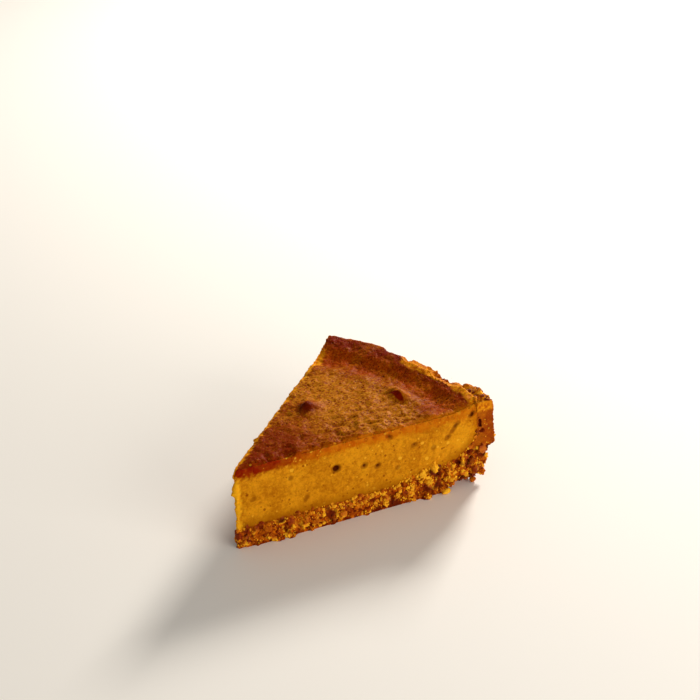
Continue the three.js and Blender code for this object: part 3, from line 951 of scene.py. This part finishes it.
def skin_colour(p, at):
    """The browned top, with painted sheen, painted highlights and painted shade on its folds, grain and long
    blister.
    """
    radius, angle, _ = around(p, at)
    flat = p.flat(at)
    dark_tip = p.ramp(radius, 66, 20)
    uneven = p.add(radius, p.sway(flat, 9, 5), p.ramp(angle, 4, 16, 0, 5), p.ramp(angle, -10, -18, 0, 5))
    dark_rim = p.times(p.ramp(uneven, 80, 104), p.ramp(radius, 114, 110, 0.7, 1.0))
    ends = p.most(p.ramp(radius, 66, 48, 0.1, 0.6), p.ramp(radius, 82, 92, 0.1, 0.6))
    dark_front = p.ramp(under_cut(p, at), 12, 1, 0.0, ends)
    round_blister = p.times(near_spot(p, at, *BLISTER, 11, 1.1), 0.7)
    baked = p.add(p.most(dark_tip, dark_rim, dark_front, round_blister), p.sway(flat, 9, 1.2, 4.0, 0.65))
    browned = colour(p, p.ramp(radius, 93, 100), (0.29, 0.056, 0.0), (0.48, 0.12, 0.0))
    near_rim = p.times(p.ramp(radius, 78, 87), p.ramp(radius, 100, 94))
    tan = colour(p, near_rim, (0.45, 0.138, 0.004), (0.35, 0.1, 0.0))
    skin = colour(p, p.ramp(baked, 0.0, 0.62), tan, browned)
    darkest = colour(p, p.ramp(radius, 60, 90), (0.19, 0.015, 0.0), (0.33, 0.038, 0.0))
    darkest = colour(p, p.ramp(radius, 101, 106), darkest, (0.16, 0.007, 0.0))
    skin = colour(p, p.ramp(baked, 0.5, 1.1), skin, darkest)
    ridges = p.add(p.noise(flat, 1.9, 3.0, 0.6), p.times(p.math("SUBTRACT", wrinkles(p, at), 0.5), 0.8))
    # The crests of the folds are painted a pinkish sheen, a painted highlight of the light behind.
    painted_sheen = p.times(p.ramp(ridges, 0.54, 0.8), p.ramp(baked, 1.1, 0.4, 0.16, 0.6),
                     p.ramp(radius, 84, 94, 1.0, 0.4))
    sheen_colour = colour(p, p.ramp(baked, 0.1, 0.7), (0.5, 0.17, 0.012), (0.42, 0.12, 0.001))
    skin = colour(p, painted_sheen, skin, sheen_colour)
    # The hollows between the folds are painted darker, as shade.
    skin = colour(p, p.ramp(ridges, 0.46, 0.25, 0.0, 0.5), skin, (0.2, 0.022, 0.0))
    leather = p.noise(at, 0.9, 2.0, 0.6)
    # The leathery grain is painted with golden highlights on its raised parts and dark shade in its pits.
    golden = p.times(p.ramp(leather, 0.53, 0.66), p.ramp(baked, 0.2, 0.9, 0.5, 0.18))
    skin = colour(p, golden, skin, (0.64, 0.24, 0.003))
    skin = colour(p, p.ramp(leather, 0.47, 0.35, 0.0, 0.7), skin, (0.18, 0.016, 0.0))
    skin = colour(p, p.ramp(pinpricks(p, at, PINPRICK), 1, 0, 0.0, 0.75), skin, (0.13, 0.01, 0.0))
    beside = p.vector("ADD", at, BESIDE)
    skin = colour(p, p.ramp(pinpricks(p, beside, 1.6, 0.1), 1, 0, 0.0, 0.7), skin, (0.17, 0.014, 0.0))
    patch = p.sway(flat, 2.5, 0.5)
    cap = p.ramp(p.add(near_spot(p, at, *BLISTER_CAP, 6.4), patch), 0.15, 0.95)
    skin = colour(p, cap, skin, (0.12, 0.008, 0.0))
    # The long blister's top is painted lighter, a painted highlight where it catches the light behind, and
    # its front is painted dark, a painted shade.
    skin = colour(p, p.times(near_spot(p, at, *LONG_BLISTER, 6, 1.6), 0.7), skin, (0.46, 0.11, 0.004))
    front = p.ramp(p.add(near_spot(p, at, *LONG_BLISTER_SHADED_FRONT, 2.4, 3.0), p.times(patch, 0.6)), 0.25, 0.6)
    skin = colour(p, front, skin, (0.16, 0.006, 0.0))
    return colour(p, torn_rim(p, at), skin, torn_colour(p, at))


def custard_material():
    """Cut custard, the edge above it and the skin on top, with painted shade in the air holes."""
    made, p, shader = material("baked_custard")
    at = p.place()
    radius, angle, height = around(p, at)
    depth = under_cut(p, at)
    past_edge = p.add(depth, height, -TOP, p.sway(at, 5, 3.6, 3.0), p.sway(at, 1.4, 4.4))
    band = p.ramp(p.add(past_edge, p.ramp(radius, 50, 20, 0, 0.9)), -5.8, -2.2)
    band = p.times(band, p.ramp(radius, 60, 95, 1.0, 0.7))
    looks = colour(p, band, inside_colour(p, at), edge_colour(p, at))
    pale = p.ramp(angle, -2, 2, 0.3, p.ramp(radius, 60, 90, 0.5, -0.8))
    from_edge = p.add(past_edge, pale)
    soft = p.ramp(radius, 70, 95, 2.2, p.ramp(angle, -4, 2, 4.2, 2.2))
    looks = colour(p, p.ramp(from_edge, 0.4, soft), looks, skin_colour(p, at))
    # The air holes and tears are painted dark, as shade inside them, darkest deep under the cut.
    in_air = kept(p, "in_air")
    looks = colour(p, p.ramp(in_air, 0.0, 1.0, 0.0, 0.6), looks, (0.2, 0.04, 0.0))
    hollow = p.times(p.ramp(in_air, 0.75, 1.0), p.ramp(depth, 0.0, 0.7))
    looks = colour(p, hollow, looks, (0.08, 0.01, 0.0))
    beside = p.vector("ADD", at, BESIDE)
    pricked = p.add(pinpricks(p, at, PINPRICK), p.times(pinpricks(p, beside, 1.3), 0.7))
    fine = p.add(p.times(p.noise(at, 0.9, 2.0, 0.6), 0.9), p.times(pricked, p.ramp(height, 31, 34)))
    surface(p, shader, looks, bump(p, fine, 0.8, 0.24))
    tune(shader, 0.46, 0.012, Subsurface_Weight=0.2, Subsurface_Radius=(1.0, 0.35, 0.05),
         Subsurface_Scale=1.0 * MM)
    return made


# %% [markdown]
# The crust's colours. Crumbs are golden, some paler and some toasted red-brown, and each has its own
# tone. What is seen between them, and a crumb lying deep in a hollow, is painted dark as shade. The
# wall's outside and the rim took more heat.

# %% Crust materials
# The painted shade between grains and deep in the hollows between clumps.
SHADE_BETWEEN_CRUMBS = (0.15, 0.014, 0.0)


def not_hollow(p, at):
    """1 on clumps of crumbs and 0 deep between them, where painted shade goes."""
    return p.ramp(p.add(crumb_clumps(p, at), p.sway(at, 2, 0.2)), 0.68, 0.5)


def crust_material():
    """Crumbs pressed together: grainy at the base, smooth up the wall, and torn at the rim."""
    made, p, shader = material("pressed_crumbs")
    at = p.place()
    radius, _, height = around(p, at)
    base = colour(p, p.ramp(p.noise(at, 2.4, 3.0, 0.65), 0.35, 0.65), (0.28, 0.03, 0.0), (0.6, 0.14, 0.001))
    grains = p.ramp(p.cells(at, GRAIN_SIZE), 0.75, 0.45)
    # Between the grains and deep in the hollows the crust is painted dark, as shade.
    base = colour(p, p.times(grains, not_hollow(p, at)), SHADE_BETWEEN_CRUMBS, base)
    outward = p.ramp(p.add(radius, p.sway(at, 3, 4, 3.0)), 109.5, 113)
    smooth_wall = colour(p, outward, (0.41, 0.1, 0.001), (0.28, 0.045, 0.0))
    pressed = p.times(p.ramp(height, 14, 20), p.ramp(under_cut(p, at), 1.5, 3.5, 0.75, 0.4))
    looks = colour(p, pressed, base, smooth_wall)
    looks = colour(p, p.times(p.ramp(height, 32.5, 35), 0.8), looks, torn_colour(p, at))
    # The air holes in the crust are painted dark, as shade inside them.
    hollow = p.times(p.ramp(kept(p, "in_air"), 0.7, 0.95), p.ramp(under_cut(p, at), -0.4, 0.2))
    looks = colour(p, hollow, looks, (0.15, 0.012, 0.0))
    surface(p, shader, looks, bump(p, p.noise(at, 0.5, 3.0), 0.6, 0.3))
    tune(shader, 0.8, 0.05)
    return made


def crumb_material():
    """Loose crumbs, each in its own tone: paler on the heap and the foot, browner at the tip and wall."""
    made, p, shader = material("golden_crumbs")
    at = p.place()
    radius, _, height = around(p, at)
    heap = p.times(p.ramp(radius, 66, 76), p.ramp(radius, 98, 88), p.ramp(height, 5, 9), 0.42)
    browner = p.add(p.times(p.ramp(under_cut(p, at), 1.5, 3.0, 0.0, -0.16), p.ramp(radius, 100, 108)),
                    p.ramp(radius, 18, 8, 0.0, -0.15))
    foot = p.times(p.ramp(height, 4, 1.5, 0.0, 0.22), p.ramp(radius, 82, 74))
    golden = p.add(p.times(kept(p, "tone"), 0.6), p.noise(at, 4, 2.0), heap, foot, browner)
    looks = colour(p, p.ramp(golden, 0.4, 0.85), (0.25, 0.024, 0.0), (0.6, 0.15, 0.001))
    looks = colour(p, p.ramp(golden, 0.74, 1.04), looks, (0.94, 0.44, 0.012))
    # Crumbs that lie deep in a hollow are painted dark, as shade.
    looks = colour(p, not_hollow(p, at), SHADE_BETWEEN_CRUMBS, looks)
    surface(p, shader, looks, bump(p, p.noise(at, 0.35, 3.0), 0.5, 0.2))
    tune(shader, 0.6, 0.1)
    return made


def paint(piece, finish):
    """Gives a piece one material."""
    piece.data.materials.clear()
    piece.data.materials.append(finish)


golden = crumb_material()
paint(custard, custard_material())
paint(crust, crust_material())
for piece in (cut_crumbs, wall_crumbs, *fallen):
    paint(piece, golden)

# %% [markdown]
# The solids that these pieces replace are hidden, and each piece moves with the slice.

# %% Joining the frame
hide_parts("custard")
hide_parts("crust")
for piece in (custard, crust, cut_crumbs, wall_crumbs, *fallen):
    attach(piece, "root")

# %% [markdown]
# The picture was taken from above the tip's right side, fairly low and close. The camera stands where the
# slice's outline fits best, with a long lens. The floor is a plain pale cream, and the light is a bright
# overcast kind: a white sky, a soft light behind for sheen on the skin, and a wider one in front.

# %% Camera, floor and light
CAMERA = Vector((-390.7, -347.2, 343.0)) * MM
AZIMUTH, PITCH = math.radians(-49.07), math.radians(28.05)
FOCAL_IN_FRAMES = 1500 / 700

lens = bpy.data.cameras.new("camera")
lens.sensor_width = 36
lens.lens = FOCAL_IN_FRAMES * lens.sensor_width
camera = bpy.data.objects.new("camera", lens)
bpy.context.scene.collection.objects.link(camera)
camera.location = CAMERA
looks = Vector((-math.sin(AZIMUTH) * math.cos(PITCH), math.cos(AZIMUTH) * math.cos(PITCH), -math.sin(PITCH)))
camera.rotation_euler = looks.to_track_quat("-Z", "Y").to_euler()
bpy.context.scene.camera = camera

bpy.ops.mesh.primitive_plane_add(size=6, location=(0, 0, -0.02 * MM))
floor = hold(bpy.context.object)
floor.name = "floor"
made, _, shader = material("pale_floor")
tune(shader, 0.7, 0.2, Base_Color=(0.92, 0.86, 0.77, 1))
paint(floor, made)


def soft_light(name, place, size, power, tint):
    """A square area light that looks at the slice."""
    light = bpy.data.lights.new(name, "AREA")
    light.size, light.energy, light.color = size, power, tint
    lamp = bpy.data.objects.new(name, light)
    bpy.context.scene.collection.objects.link(lamp)
    lamp.location = place
    lamp.rotation_euler = (Vector((0, 0, 0.02)) - lamp.location).to_track_quat("-Z", "Y").to_euler()


soft_light("window_behind", Vector((1.0, 0.25, 0.5)), 0.25, 17.0, (1, 0.98, 0.95))
soft_light("front_fill", Vector((0.0, -1.0, 0.22)), 0.8, 8.4, (1, 0.98, 0.94))
sky = bpy.data.worlds.new("sky")
sky.use_nodes = True
white = sky.node_tree.nodes["Background"].inputs
white["Color"].default_value, white["Strength"].default_value = (1, 1, 1, 1), 0.3
bpy.context.scene.world = sky
bpy.context.scene.view_settings.view_transform = "Standard"
